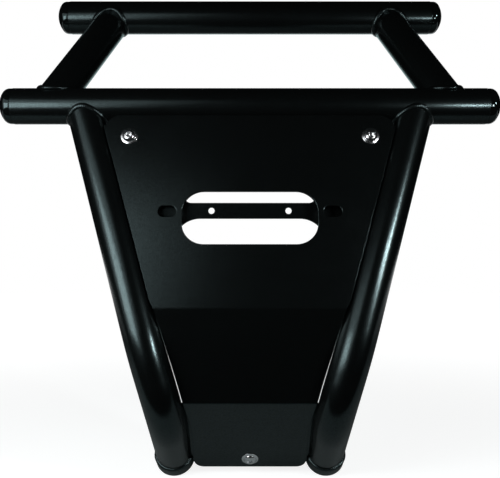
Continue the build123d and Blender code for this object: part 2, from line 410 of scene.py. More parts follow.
def add_range(tree: Tree, values: tuple[float, float], share: Socket) -> Socket:
    """Runs from the first value to the second while the share runs from 0 to 1."""
    settings = {"To Min": values[0], "To Max": values[1]}
    return add_node(tree, "ShaderNodeMapRange", settings, {"Value": share}).outputs["Result"]


def add_fade(tree: Tree, value: Socket, over: tuple[float, float],
             to: tuple[float, float] = (0.0, 1.0)) -> Socket:
    """Runs smoothly between two values while an input crosses a range.

    Args:
        tree: the node tree that it goes into.
        value: the input.
        over: where the input's range starts and ends.
        to: the values before that range and after it.

    Returns:
        The output.
    """
    settings = {"interpolation_type": "SMOOTHSTEP", "From Min": over[0], "From Max": over[1],
                "To Min": to[0], "To Max": to[1]}
    return add_node(tree, "ShaderNodeMapRange", settings, {"Value": value}).outputs["Result"]


def add_math(tree: Tree, operation: str, first: Socket, second: Socket) -> Socket:
    """Joins two outputs by one arithmetic operation."""
    return add_node(tree, "ShaderNodeMath", {"operation": operation}, {0: first, 1: second}).outputs[0]


def add_relief(tree: Tree, depth: float, height: Socket, under: Socket | None = None) -> Socket:
    """Adds a bump of a real depth.

    Args:
        tree: the node tree that it goes into.
        depth: how far the highest places stand above the lowest.
        height: the pattern of high and low.
        under: the normals that it lies on, or None for the mesh's own.

    Returns:
        The output with the new normals.
    """
    links = {"Height": height}
    if under is not None:
        links["Normal"] = under
    settings = {"Strength": 1.0, "Distance": depth}
    return add_node(tree, "ShaderNodeBump", settings, links).outputs["Normal"]


def add_surface(tree: Tree, settings: Mapping[str, object], links: Mapping[str, Socket]) -> None:
    """Adds the surface's shader, with its settings and links, and the tree's output."""
    surface = add_node(tree, "ShaderNodeBsdfPrincipled", settings, links)
    add_node(tree, "ShaderNodeOutputMaterial", links={"Surface": surface.outputs["BSDF"]})


def empty_material(name: str) -> bpy.types.Material:
    """Makes a material with an empty node tree.

    Args:
        name: the material's name.

    Returns:
        The new material.
    """
    material = bpy.data.materials.new(name)
    material.use_nodes = True
    material.node_tree.nodes.clear()
    return material


@dataclass(frozen=True)
class PowderCoat:
    """Satin black powder coat, sprayed dry and baked: deep black, with a fine orange peel.

    The peel breaks each highlight's edge into small grains, and the sheen is soft but clear.
    """

    name: str = "satin black powder coat"
    colours: tuple[str, str] = ("#040505", "#070808")
    # The baked film mirrors a little less red than green and blue
    sheen: str = "#d9fbff"
    ior: float = 1.5
    roughness: tuple[float, float] = (0.19, 0.25)
    # The real peel is about 0.6 mm across. It is drawn twice as coarse, so that a pixel shows it.
    peel: float = 1.2 * MM
    peel_depth: float = 0.045 * MM
    # Each grain mirrors a little more or less than the next
    sparkle: tuple[float, float] = (0.1, 0.9)
    # The roughness drifts slowly over this distance
    drift: float = 25 * MM
    drift_detail: float = 3.0
    # The film runs round sheared edges as if they had this radius
    edge_round: float = 0.5 * MM
    edge_samples: int = 4

    def build(self) -> bpy.types.Material:
        """Makes the material.

        Returns:
            The new material.
        """
        material = empty_material(self.name)
        tree = material.node_tree
        drift = add_pattern(tree, self.drift, detail=self.drift_detail)
        peel = add_pattern(tree, self.peel)
        edge = add_node(tree, "ShaderNodeBevel",
                        {"samples": self.edge_samples, "Radius": self.edge_round})
        settings = {"Metallic": 0.0, "IOR": self.ior, "Specular Tint": linear(self.sheen)}
        links = {
            "Base Color": add_blend(tree, self.colours, peel),
            "Roughness": add_range(tree, self.roughness, drift),
            "Specular IOR Level": add_range(tree, self.sparkle, peel),
            "Normal": add_relief(tree, self.peel_depth, peel, edge.outputs["Normal"]),
        }
        add_surface(tree, settings, links)
        return material


@dataclass(frozen=True)
class MouldedPlastic:
    """Injection-moulded black polythene: smooth and glossier than the coat, with faint flow marks."""

    name: str = "moulded black polythene"
    colours: tuple[str, str] = ("#040505", "#090a0a")
    # It mirrors a little less red than green and blue, as the coat does
    sheen: str = "#d9fbff"
    ior: float = 1.5
    roughness: tuple[float, float] = (0.06, 0.12)
    # The flow marks lie this far apart, and are drawn out by the swirl
    flow: float = 5 * MM
    flow_swirl: float = 1.5
    # The mould's own grain, which the moulding copies
    grain: float = 0.9 * MM
    grain_depth: float = 0.006 * MM

    def build(self) -> bpy.types.Material:
        """Makes the material.

        Returns:
            The new material.
        """
        material = empty_material(self.name)
        tree = material.node_tree
        flow = add_pattern(tree, self.flow, swirl=self.flow_swirl)
        settings = {"Metallic": 0.0, "IOR": self.ior, "Specular Tint": linear(self.sheen)}
        links = {
            "Base Color": add_blend(tree, self.colours, flow),
            "Roughness": add_range(tree, self.roughness, flow),
            "Normal": add_relief(tree, self.grain_depth, add_pattern(tree, self.grain)),
        }
        add_surface(tree, settings, links)
        return material


@dataclass(frozen=True)
class ZincPlate:
    """Electroplated zinc on steel: a bright cool grey metal with a slightly cloudy sheen."""

    name: str
    colours: tuple[str, str]
    roughness: tuple[float, float]
    # The plating's cloudy patches lie this far apart
    cloud: float = 2.5 * MM
    cloud_detail: float = 4.0
    # The crystals' fine grain
    grain: float = 0.35 * MM
    grain_depth: float = 0.006 * MM

    def build(self) -> bpy.types.Material:
        """Makes the material.

        Returns:
            The new material.
        """
        material = empty_material(self.name)
        tree = material.node_tree
        cloud = add_pattern(tree, self.cloud, detail=self.cloud_detail)
        links = {
            "Base Color": add_blend(tree, self.colours, cloud),
            "Roughness": add_range(tree, self.roughness, cloud),
            "Normal": add_relief(tree, self.grain_depth, add_pattern(tree, self.grain)),
        }
        add_surface(tree, {"Metallic": 1.0}, links)
        return material


@dataclass(frozen=True)
class Bead:
    """A weld bead: an oval carried along the joint, with the ripples that the torch leaves."""

    half_width: float = 3.2 * MM
    half_height: float = 1.9 * MM
    ripple_pitch: float = 1.9 * MM
    ripple_share: float = 0.09
    # The top of a ripple runs ahead of its sides by this share of the pitch
    ripple_lag: float = 0.55
    # The bead swells and shrinks slowly by this share, in two waves along its length
    wander_share: float = 0.07
    wander_waves: tuple[int, int] = (5, 13)
    wander_shift: float = 1.0
    # An open bead's tip keeps a hair of thickness, the square root of this share
    tip_share: float = 1e-4
    spacing: float = 0.3 * MM
    columns: int = 18

    def swell(self, at: np.ndarray, length: float, angle: np.ndarray, closed: bool) -> np.ndarray:
        """The factor on the bead's half sizes, along it and round its oval.

        The ripples give 1 + share * (|sin(pi * (turns * at / length - lag * cos(angle)))| - 1/2),
        and the two slow waves 1 + share * their mean. An open bead's ends taper as a quarter
        circle: sqrt(1 - (1 - left)^2), with left the distance to the nearer end in bead widths.

        Args:
            at: distances along the bead.
            length: the bead's length.
            angle: angles round the oval, from the top.
            closed: whether the bead runs right round.

        Returns:
            The factor by row and column.
        """
        turns = round(length / self.ripple_pitch)
        phase = (at / length * turns)[:, None] - self.ripple_lag * np.cos(angle)
        ripple = 1 + self.ripple_share * (np.abs(np.sin(np.pi * phase)) - 0.5)
        slow, fast = (wave * 2 * np.pi * at / length for wave in self.wander_waves)
        waves = (np.sin(slow + self.wander_shift) + np.sin(fast)) / 2
        size = ripple * (1 + self.wander_share * waves)[:, None]
        if closed:
            return size
        left = np.clip(np.minimum(at, length - at) / (2 * self.half_width), 0, 1)
        return size * np.sqrt(np.clip(1 - (1 - left) ** 2, self.tip_share, 1))[:, None]

    def carry(self, name: str, curve: np.ndarray, outward: np.ndarray, closed: bool) -> bpy.types.Object:
        """Carries the bead along a joint.

        A point is curve + height * cos(a) * outward + width * sin(a) * across, for a round the
        oval, with both half sizes times the swell.

        Args:
            name: the new object's name.
            curve: points along the joint's root.
            outward: at each point, the direction that the bead bulges in.
            closed: whether the joint runs right round.

        Returns:
            The bead's mesh object.
        """
        points = np.concatenate((curve, outward), axis=1)
        if closed:
            points = np.concatenate((points, points[:1]))
        length = lengths(points)[-1]
        count = int(length / self.spacing)
        at = np.linspace(0, length, count + 1)[:count if closed else None]
        centre, bulge = np.split(sample(points, at), 2, axis=1)
        if closed:
            tangent = unit(np.roll(centre, -1, axis=0) - np.roll(centre, 1, axis=0))
        else:
            tangent = unit(np.gradient(centre, axis=0))
        bulge = unit(bulge - tangent * np.sum(bulge * tangent, axis=1, keepdims=True))
        across = np.cross(tangent, bulge)
        angle = round_angles(self.columns)
        size = self.swell(at, length, angle, closed)
        height = (self.half_height * size * np.cos(angle))[..., None]
        width = (self.half_width * size * np.sin(angle))[..., None]
        grid = centre[:, None] + height * bulge[:, None] + width * across[:, None]
        return shell(name, grid, ring=closed)


@dataclass(frozen=True)
class Joint:
    """Where a tube's end meets a crossbar.

    It holds the weld's root and outward direction, and the run along the tube from the bar's axis.
    """

    points: np.ndarray
    outward: np.ndarray
    run: np.ndarray


@dataclass(frozen=True)
class FootSlug:
    """A turned slug: a shoulder below the tube's end, a spigot in it and a blind tapped hole."""

    shoulder_radius: float = 20.65 * MM
    length: float = 13.0 * MM
    chamfer: float = 1.2 * MM
    spigot_radius: float = 16.5 * MM
    spigot_length: float = 14.0 * MM
    # The rounds at the chamfer's two edges, the shoulder's top and root, and the spigot's end
    rounds: tuple[float, ...] = (0.4 * MM, 0.4 * MM, 0.5 * MM, 0.0, 0.8 * MM)
    hole_depth: float = 12.0 * MM
    thread: Thread = Thread(crest=5.0 * MM, pitch=1.5 * MM, depth_share=0.5)
    # The drill's point is this deep for each unit of the hole's radius
    drill_slope: float = 0.6
    # The thread stops this far above the hole's floor and below its mouth
    floor_margin: float = 0.5 * MM
    mouth_margin: float = 0.6 * MM
    mouth_widening: float = 0.3 * MM
    thread_rows: int = 80
    # The radius of the smallest ring, round the middle of a closed end
    pin: float = 0.05 * MM
    columns: int = 96

    def surface(self, seat: Seat) -> np.ndarray:
        """The slug's surface, from the drill's point up the thread and over the outside.

        The outline is turned about the seat's axis, and along the hole the radius is the thread's.

        Args:
            seat: the middle of the tube's end.

        Returns:
            The surface's points.
        """
        angle = round_angles(self.columns)
        floor = self.length - self.hole_depth
        cone = np.array(((self.pin, floor - self.drill_slope * self.thread.root),
                         (self.thread.root, floor)))
        depth = np.linspace(floor + self.floor_margin, self.length - self.mouth_margin,
                            self.thread_rows)[:, None]
        corners = ((self.thread.crest + self.mouth_widening, self.length),
                   (self.shoulder_radius - self.chamfer, self.length),
                   (self.shoulder_radius, self.length - self.chamfer),
                   (self.shoulder_radius, 0.0),
                   (self.spigot_radius, 0.0),
                   (self.spigot_radius, -self.spigot_length),
                   (self.pin, -self.spigot_length))
        outside = rounded(np.array(corners), self.rounds)
        return np.concatenate((seat.carry(cone[:, :1], cone[:, 1:], angle),
                               seat.carry(self.thread.radius(depth, angle), depth, angle),
                               seat.carry(outside[:, :1], outside[:, 1:], angle)))


@dataclass
class TubeFrame:
    """The crossbars, struts and downtubes, with the feet and the welds between them."""

    coat: bpy.types.Material
    radius: float = 19.05 * MM
    wall_thickness: float = 2.4 * MM
    front_axis: np.ndarray = field(default_factory=lambda: vec(0, 28.7, 112.5) * MM)
    rear_axis: np.ndarray = field(default_factory=lambda: vec(0, 125.0, 237.0) * MM)
    strut_front_x: float = 214.0 * MM
    strut_rear_x: float = 160.2 * MM
    head: np.ndarray = field(default_factory=lambda: vec(176.8, 28.7, 112.5) * MM)
    knee: np.ndarray = field(default_factory=lambda: vec(100.5, -38.6, -138.5) * MM)
    ankle: np.ndarray = field(default_factory=lambda: vec(82.6, -36.6, -199.9) * MM)
    toe: np.ndarray = field(default_factory=lambda: vec(80.2, 25.4, -254.9) * MM)
    bend_radii: tuple[float, float] = (150 * MM, 75 * MM)
    bend_steps: int = 90
    axis_step: float = 1.0 * MM
    # The plate's top facet leans with the upper runs, and its lowest one by this from the vertical
    low_lean: float = math.radians(37.0)
    # The lower end of the plate's front, in the middle plane
    plate_end: np.ndarray = field(default_factory=lambda: vec(0, 26.06, -270.084) * MM)
    foot: FootSlug = FootSlug()
    # How far the bead's root stands off the bar where both tubes run side by side
    saddle_gap: float = 0.8 * MM
    # The welder rounds the pointed saddle off over this turn about the tube
    saddle_ease: float = 0.45
    # Each tube's end reaches this far under its weld
    weld_lap: float = 1.0 * MM
    # The CAD's facets lie up to this far inside its true round, and the tubes stay within its box
    hair: float = 0.04 * MM
    # The straight stretch of a downtube below the front bar that its first rows share out
    head_length: float = 40.0 * MM
    # A straight tube's rows, which lie closer together near its first end by this power
    straight_rows: int = 12
    row_power: float = 1.5
    # Along the bends every third sample of the axis has a row
    bend_row_steps: int = 3
    columns: int = 144
    joint_bead: Bead = Bead(half_width=3.0 * MM, half_height=2.2 * MM, ripple_share=0.06)
    foot_bead: Bead = Bead(half_width=1.9 * MM, half_height=1.3 * MM, ripple_pitch=1.5 * MM)
    # The foot bead's root stands off the tube's wall and above its end by this
    foot_bead_root: float = 0.4 * MM
    foot_bead_points: int = 360

    @property
    def upper_rise(self) -> np.ndarray:
        """The way up along the upper runs, in the middle plane."""
        return unit((self.head - self.knee) * (0, 1, 1))

    @property
    def upper_normal(self) -> np.ndarray:
        """The outward normal of the plane through both upper runs."""
        return np.cross(SIDEWAYS, self.upper_rise)

    @property
    def low_rise(self) -> np.ndarray:
        """The way up along the lowest facet."""
        return vec(0.0, -math.sin(self.low_lean), math.cos(self.low_lean))

    @property
    def low_normal(self) -> np.ndarray:
        """The outward normal of the lowest facet."""
        return np.cross(SIDEWAYS, self.low_rise)

    @property
    def row_shares(self) -> np.ndarray:
        """How far along a straight tube each of its rows lies, from 0 to 1."""
        return np.linspace(0, 1, self.straight_rows)[:, None, None] ** self.row_power

    def downtube_axis(self) -> np.ndarray:
        """Samples the right downtube's axis evenly.

        Returns:
            The points, one row each.
        """
        corners = np.stack((self.head, self.knee, self.ankle, self.toe))
        curve = rounded(corners, self.bend_radii, steps=self.bend_steps)
        length = lengths(curve)[-1]
        return sample(curve, np.linspace(0, length, int(round(length / self.axis_step)) + 1))

    def spokes(self, ways: np.ndarray) -> np.ndarray:
        """The directions square to a tube's axis: cos(angle) * first + sin(angle) * second.

        The first one is square to X as well, so that a bent tube's generators don't twist.

        Args:
            ways: the unit direction along the tube, alone or one row for each point of its axis.

        Returns:
            The unit directions by point of the axis, if there are several, and angle about it.
        """
        first = unit(np.cross(ways, SIDEWAYS))[..., None, :]
        second = np.cross(ways[..., None, :], first)
        angle = round_angles(self.columns)[0, :, None]
        return np.cos(angle) * first + np.sin(angle) * second

    def ease(self, run: np.ndarray) -> np.ndarray:
        """Rounds a joint: each run becomes the mean of its neighbours within the easing turn.

        The running mean is taken twice, so that it rounds the points of a saddle as one arc.

        Args:
            run: for each angle about the tube, how far its end lies from the bar's axis.

        Returns:
            The rounded runs.
        """
        reach = round(self.saddle_ease / (2 * np.pi) * self.columns)
        for _ in range(2):
            run = np.mean([np.roll(run, shift) for shift in range(-reach, reach + 1)], axis=0)
        return run

    def cope(self, start: np.ndarray, way: np.ndarray, spokes: np.ndarray, bar: np.ndarray) -> Joint:
        """The joint between a tube and the crossbar that its end is coped to.

        A line along the tube's wall is q + s * e in the bar's cross-section. It meets a circle of
        the bar's radius plus the saddle gap at s = (-b + sqrt(b * b - a * c)) / a, with a = e.e,
        b = q.e and c = q.q less the circle's radius squared.

        Args:
            start: the tube's axis at the bar.
            way: the unit direction along the tube, away from the bar.
            spokes: the directions from the tube's axis to its wall.
            bar: a point of the bar's axis.

        Returns:
            The joint, with its weld's outward direction halfway between both surfaces' normals.
        """
        rim = start + self.radius * spokes
        q, e = (rim - bar)[:, 1:], way[1:]
        a, b = e @ e, q @ e
        c = np.sum(q * q, axis=1) - (self.radius + self.saddle_gap) ** 2
        run = self.ease((-b + np.sqrt(b * b - a * c)) / a)
        points = rim + run[:, None] * way
        return Joint(points, unit(spokes + unit((points - bar) * (0, 1, 1))), run)

    def build(self) -> None:
        """Dresses the bars and adds the tubes between them, the feet and all their welds."""
        for name in ("front_crossbar", "rear_crossbar"):
            dress_node(name, self.coat)
        for side in Side:
            joints = self.add_strut(side) | self.add_downtube(side)
            for name, joint in joints.items():
                self.add_ring_weld(side, name, self.joint_bead, joint.points, joint.outward)
            self.add_foot(side)

    def add_tube(self, side: Side, name: str, node_name: str, centres: np.ndarray,
                 spokes: np.ndarray) -> None:
        """Adds a tube: its outer wall along the rows of centres, and its inner wall back again.

        Args:
            side: the half of the bumper that it goes to.
            name: the piece's name, without its side.
            node_name: the name of the CAD node that it stands for, without its side.
            centres: on the right half, the point of the axis behind each point of the wall.
            spokes: on the right half, the directions from the axis to the wall.
        """
        outer = centres + (self.radius - self.hair) * spokes
        inner = centres + (self.radius - self.wall_thickness) * spokes
        grid = np.concatenate((outer, inner[::-1])) * side.flip()
        tube = shell(f"{side.word}_{name}", grid, ring=True)
        settle(tube, self.coat, (f"{side.word}_{node_name}",))

    def add_strut(self, side: Side) -> dict[str, Joint]:
        """Adds a strut, whose rows run from the front bar's saddle to the rear bar's.

        Args:
            side: the half of the bumper that it goes to.

        Returns:
            The joints at its ends, by their welds' names.
        """
        start = self.front_axis + self.strut_front_x * SIDEWAYS
        end = self.rear_axis + self.strut_rear_x * SIDEWAYS
        span, way = np.linalg.norm(end - start), unit(end - start)
        spokes = self.spokes(way)
        front = self.cope(start, way, spokes, self.front_axis)
        rear = self.cope(end, -way, spokes, self.rear_axis)
        near = (front.run - self.weld_lap)[:, None]
        far = (span - rear.run + self.weld_lap)[:, None]
        centres = start + (near + self.row_shares * (far - near)) * way
        self.add_tube(side, "strut_tube", "strut", centres, spokes)
        return {"strut_front_weld": front, "strut_rear_weld": rear}

    def add_downtube(self, side: Side) -> dict[str, Joint]:
        """Adds a downtube, with rows from the front bar's saddle and then along its bends.

        Args:
            side: the half of the bumper that it goes to.

        Returns:
            The joint at its head, by its weld's name.
        """
        way = unit(self.knee - self.head)
        head_spokes = self.spokes(way)
        head = self.cope(self.head, way, head_spokes, self.front_axis)
        near = (head.run - self.weld_lap)[:, None]
        upper = self.head + (near + self.row_shares * (self.head_length - near)) * way
        axis = self.downtube_axis()
        first, last = round(self.head_length / self.axis_step) + 1, len(axis) - 1
        picked = np.r_[first:last:self.bend_row_steps, last]
        low_spokes = self.spokes(unit(np.gradient(axis, axis=0))[picked])
        lower = np.broadcast_to(axis[picked][:, None], low_spokes.shape)
        spokes = np.concatenate((np.broadcast_to(head_spokes, upper.shape), low_spokes))
        self.add_tube(side, "bent_tube", "downtube", np.concatenate((upper, lower)), spokes)
        return {"downtube_weld": head}

    def add_ring_weld(self, side: Side, name: str, bead: Bead, points: np.ndarray,
                      outward: np.ndarray) -> None:
        """Adds a weld that runs right round a tube.

        Args:
            side: the half of the bumper that it goes to.
            name: the weld's name, without its side.
            bead: the bead's form.
            points: on the right half, points along the weld's root.
            outward: on the right half, the direction that the bead bulges in at each point.
        """
        ring = bead.carry(f"{side.word}_{name}", points * side.flip(), outward * side.flip(),
                          closed=True)
        settle(ring, self.coat)

    def add_foot(self, side: Side) -> None:
        """Adds a foot slug at a downtube's end, and the ring of weld above its shoulder.

        Args:
            side: the half of the bumper that it goes to.
        """
        way = unit(self.toe - self.ankle)
        seat = Seat(self.toe, way, SIDEWAYS - (SIDEWAYS @ way) * way).flip(side)
        foot = shell(f"{side.word}_tapped_foot", self.foot.surface(seat), ring=False)
        settle(foot, self.coat, (f"{side.word}_foot",))
        first = unit(np.cross(way, SIDEWAYS))
        angle = round_angles(self.foot_bead_points)[0, :, None]
        spokes = np.cos(angle) * first + np.sin(angle) * np.cross(way, first)
        root = self.toe - way * self.foot_bead_root + spokes * (self.radius + self.foot_bead_root)
        self.add_ring_weld(side, "foot_weld", self.foot_bead, root, unit(spokes - way))


@dataclass
class SheetWork:
    """The bent plate and the brackets behind it, with the welds that hold the brackets."""

    coat: bpy.types.Material
    tubes: TubeFrame
    strap_thickness: float = 3.2 * MM
    strap_top: float = 20.0 * MM
    strap_bottom: float = -38.0 * MM
    # The back of a tab, in front of the plane through the front bar and both upper runs
    tab_back: float = 6.5 * MM
    tab_middle: float = -40.0 * MM
    tab_height: float = 28.0 * MM
    # The cross plate's back, behind the lowest facet, and its welded stretch above that facet's end
    cross_back: float = -7.2 * MM
    cross_weld: tuple[float, float] = (17.0 * MM, 92.0 * MM)
    # The beads start this far in from the brackets' ends
    end_margin: float = 1.0 * MM
    # Every bracket is inside the downtubes here
    inside_x: float = 55.0 * MM
    edge_bead: Bead = Bead(half_width=2.4 * MM, half_height=1.6 * MM, ripple_pitch=1.6 * MM)
    edge_points: int = 120

    def build(self) -> None:
        """Dresses the plate and its brackets, and adds the brackets' welds."""
        for name in ("bash_plate", "frame_strap", "lower_cross_plate", "left_tab", "right_tab"):
            dress_node(name, self.coat)
        low, high = self.strap_bottom + self.end_margin, self.strap_top - self.end_margin
        back, front = vec(0.0, 1.0, 0.0), vec(0.0, -1.0, 0.0)
        self.add_weld("strap_rear_weld", low * UP, high * UP, back)
        self.add_weld("strap_front_weld", front * self.strap_thickness + low * UP,
                      front * self.strap_thickness + high * UP, front)
        reach = self.tab_height / 2 - self.end_margin
        facet, rise = self.tubes.upper_normal, self.tubes.upper_rise
        root = self.tubes.front_axis + facet * self.tab_back
        self.add_weld("tab_weld", root + rise * (self.tab_middle - reach),
                      root + rise * (self.tab_middle + reach), -facet)
        facet, rise = self.tubes.low_normal, self.tubes.low_rise
        root = self.tubes.plate_end + facet * self.cross_back
        self.add_weld("cross_plate_weld", root + rise * self.cross_weld[0],
                      root + rise * self.cross_weld[1], -facet)

    def add_weld(self, name: str, start: np.ndarray, end: np.ndarray, facing: np.ndarray) -> None:
        """Adds one bracket's weld on each side, where the bracket's face meets the downtube.

        Points on a straight line in the middle plane slide sideways until they touch the tube.

        Args:
            name: the weld's name, without its side.
            start: the line's lower end.
            end: the line's upper end.
            facing: the outward normal of the bracket's face.
        """
        share = np.linspace(0, 1, self.edge_points)[:, None]
        starts = start + share * (end - start) + self.inside_x * SIDEWAYS
        points = meet_tube(starts, SIDEWAYS, self.tubes.downtube_axis(), self.tubes.radius)
        outward = np.broadcast_to(unit(facing - SIDEWAYS), points.shape)
        for side in Side:
            bead = self.edge_bead.carry(f"{side.word}_{name}", points * side.flip(),
                                        outward * side.flip(), closed=False)
            settle(bead, self.coat)


@dataclass
class EndCaps:
    """The four domed caps in the crossbars' ends, each moulded with a hollow finned stem."""

    plastic: bpy.types.Material
    tubes: TubeFrame
    half_lengths: tuple[float, float] = (250.5 * MM, 214.25 * MM)
    rim: float = 3.7 * MM
    dome: float = 11.2 * MM
    shoulder: float = 7.5 * MM
    # The lip is a little smaller than the tube, so that the seam shows as a fine dark line
    lip_inset: float = 0.35 * MM
    lip_round: float = 1.0 * MM
    stem_length: float = 22.0 * MM
    stem_radius: float = 15.05 * MM
    stem_round: float = 0.6 * MM
    hollow_radius: float = 12.85 * MM
    hollow_round: float = 1.0 * MM
    # The hollow's floor closes round its middle at this share of its radius
    pin_share: float = 0.01
    fin_radius: float = 16.55 * MM
    fin_width: float = 1.4 * MM
    # A fin's leading flank slopes, so that the cap slides in, and its other flank slopes less
    fin_lead: float = 0.4 * MM
    fin_trail: float = 0.2 * MM
    fin_root_round: float = 0.2 * MM
    fin_tip_round: float = 0.25 * MM
    fins: int = 3
    shoulder_rows: int = 12
    crown_rows: int = 20
    columns: int = 128

    def build(self) -> None:
        """Adds the four caps."""
        outline, angle = self.outline(), round_angles(self.columns)
        middles = (self.tubes.front_axis, self.tubes.rear_axis)
        for row, middle, half_length in zip(("front", "rear"), middles, self.half_lengths):
            right = Seat(middle + half_length * SIDEWAYS, SIDEWAYS, UP)
            for side in Side:
                grid = right.flip(side).carry(outline[:, :1], outline[:, 1:], angle)
                name = f"{row}_{side.word}_cap"
                cap = shell(f"{name}_moulding", grid, ring=False)
                settle(cap, self.plastic, (name,))

    def stem(self, lip: float) -> np.ndarray:
        """The outline from the hollow's middle over the fins to the lip's upper edge.

        Args:
            lip: the lip's radius.

        Returns:
            Radius and height, one row for each point.
        """
        corners = [(self.hollow_radius * self.pin_share, 0.0), (self.hollow_radius, 0.0),
                   (self.hollow_radius, -self.stem_length), (self.stem_radius, -self.stem_length)]
        radii = [self.hollow_round, self.stem_round, self.stem_round]
        pitch = self.stem_length / self.fins
        for number in range(self.fins):
            low = pitch * (number + 0.5) - self.stem_length
            high = low + self.fin_width
            corners += [(self.stem_radius, low), (self.fin_radius, low + self.fin_lead),
                        (self.fin_radius, high - self.fin_trail), (self.stem_radius, high)]
            radii += [self.fin_root_round, self.fin_tip_round, self.fin_tip_round, self.fin_root_round]
        corners += [(self.stem_radius, 0.0), (lip, 0.0), (lip, self.rim)]
        return rounded(np.array(corners), (*radii, 0.0, self.lip_round))

    def outline(self) -> np.ndarray:
        """The cap's outline, from the stem's hollow to the top of the dome.

        The shoulder is an arc tangent to the rim. It runs on into a crown arc about the axis,
        whose radius is (side^2 + dome^2 - shoulder^2) / (2 * (dome - shoulder)).

        Returns:
            Radius and height, one row for each point.
        """
        lip = self.tubes.radius - self.lip_inset
        side = lip - self.shoulder
        crown = (side**2 + self.dome**2 - self.shoulder**2) / (2 * (self.dome - self.shoulder))
        sink = crown - self.dome
        meet = math.atan2(sink, side)
        turn = np.linspace(0, meet, self.shoulder_rows)[1:]
        shoulder = np.stack((side + self.shoulder * np.cos(turn),
                             self.rim + self.shoulder * np.sin(turn)), axis=1)
        turn = np.linspace(meet, np.pi / 2, self.crown_rows)[1:-1]
        top = np.stack((crown * np.cos(turn), self.rim - sink + crown * np.sin(turn)), axis=1)
        return np.concatenate((self.stem(lip), shoulder, top))


@dataclass(frozen=True)
class FlangedScrew:
    """A screw with a button head, a pressed flange and a hexagon socket."""

    thread: Thread = Thread(crest=3.9 * MM, pitch=1.25 * MM)
    flange_radius: float = 8.8 * MM
    flange_height: float = 1.2 * MM
    # The flat ring of the flange round the head
    flange_land: float = 0.5 * MM
    # The neck below the flange narrows by this to the thread
    neck: float = 0.3 * MM
    # The rounds at the land's edge, the flange's rim, its lower edge and the neck
    flange_rounds: tuple[float, ...] = (0.3 * MM, 0.25 * MM, 0.15 * MM, 0.0)
    head_radius: float = 6.8 * MM
    head_height: float = 4.4 * MM
    head_flat: float = 3.1 * MM
    dome_radius: float = 5.5 * MM
    dome_rows: int = 10
    socket_flats: float = 5.0 * MM
    socket_depth: float = 2.6 * MM
    # The socket's floor dips by this, between a small ring and one near the walls
    socket_dip: float = 0.5 * MM
    floor_rings: tuple[float, float] = (0.03, 0.97)
    # The socket's foot is eased by this, and its round mouth clears the corners by as much
    socket_ease: float = 0.1 * MM
    mouth_depth: float = 0.35 * MM
    # The thread grows over its first pitch from here on, and ends in a cone this much smaller
    thread_start: float = 0.6 * MM
    point_taper: float = 1.1 * MM
    thread_rows: int = 130
    columns: int = 96

    def dome(self) -> np.ndarray:
        """The head's domed flank, an arc from the flat down to the flange.

        Its centre is the chord's middle, moved inwards square to the chord by
        sqrt(radius^2 - (chord / 2)^2).

        Returns:
            Radius and height, one row for each point.
        """
        top = np.array((self.head_flat, self.head_height))
        foot = np.array((self.head_radius, self.flange_height))
        chord = foot - top
        half = np.linalg.norm(chord) / 2
        inward = unit(np.array((chord[1], -chord[0])))
        centre = (top + foot) / 2 + inward * math.sqrt(self.dome_radius**2 - half**2)
        first, last = (math.atan2(*(end - centre)[::-1]) for end in (top, foot))
        turn = np.linspace(first, last, self.dome_rows)[:, None]
        return centre + self.dome_radius * np.concatenate((np.cos(turn), np.sin(turn)), axis=1)

    def socket(self, seat: Seat, angle: np.ndarray) -> list[np.ndarray]:
        """The socket's rows, from its floor's middle to its round mouth.

        Args:
            seat: the middle of the face that the head rests on.
            angle: angles about the screw's axis.

        Returns:
            One row of points for each height.
        """
        key = hexagon(self.socket_flats, angle)
        floor = self.head_height - self.socket_depth
        mouth = self.socket_flats / math.sqrt(3) + self.socket_ease
        small, large = self.floor_rings
        return [seat.carry(key * small, floor - self.socket_dip, angle),
                seat.carry(key * large, floor, angle),
                seat.carry(key, floor + self.socket_ease, angle),
                seat.carry(key, self.head_height - self.mouth_depth, angle),
                seat.carry(np.maximum(key, mouth), self.head_height, angle)]

    def surface(self, seat: Seat, length: float) -> np.ndarray:
        """The screw's surface, from the socket's floor over the head and down the thread.

        From the socket's mouth on, it follows a turned outline. Along the shank the radius is the
        smaller of the thread's and the pointed end's cone.

        Args:
            seat: the middle of the face that the head rests on.
            length: how far the shank reaches below that face.

        Returns:
            The surface's points.
        """
        angle = round_angles(self.columns)
        crest = self.thread.crest
        corners = ((self.head_radius, self.flange_height),
                   (self.head_radius + self.flange_land, self.flange_height),
                   (self.flange_radius, self.flange_height / 2),
                   (self.flange_radius, 0.0),
                   (crest + self.neck, 0.0),
                   (crest, -self.neck))
        flange = rounded(np.array(corners), self.flange_rounds)
        head = np.concatenate((self.dome()[:-1], flange))
        height = np.linspace(-self.thread_start, -length, self.thread_rows)[:, None]
        grown = np.clip((-height - self.thread_start) / self.thread.pitch, 0, 1)
        shank = crest - grown * (crest - self.thread.radius(height, angle))
        point = crest - self.point_taper + (height + length)
        return np.concatenate((*self.socket(seat, angle),
                               seat.carry(head[:, :1], head[:, 1:], angle),
                               seat.carry(np.minimum(shank, point), height, angle)))


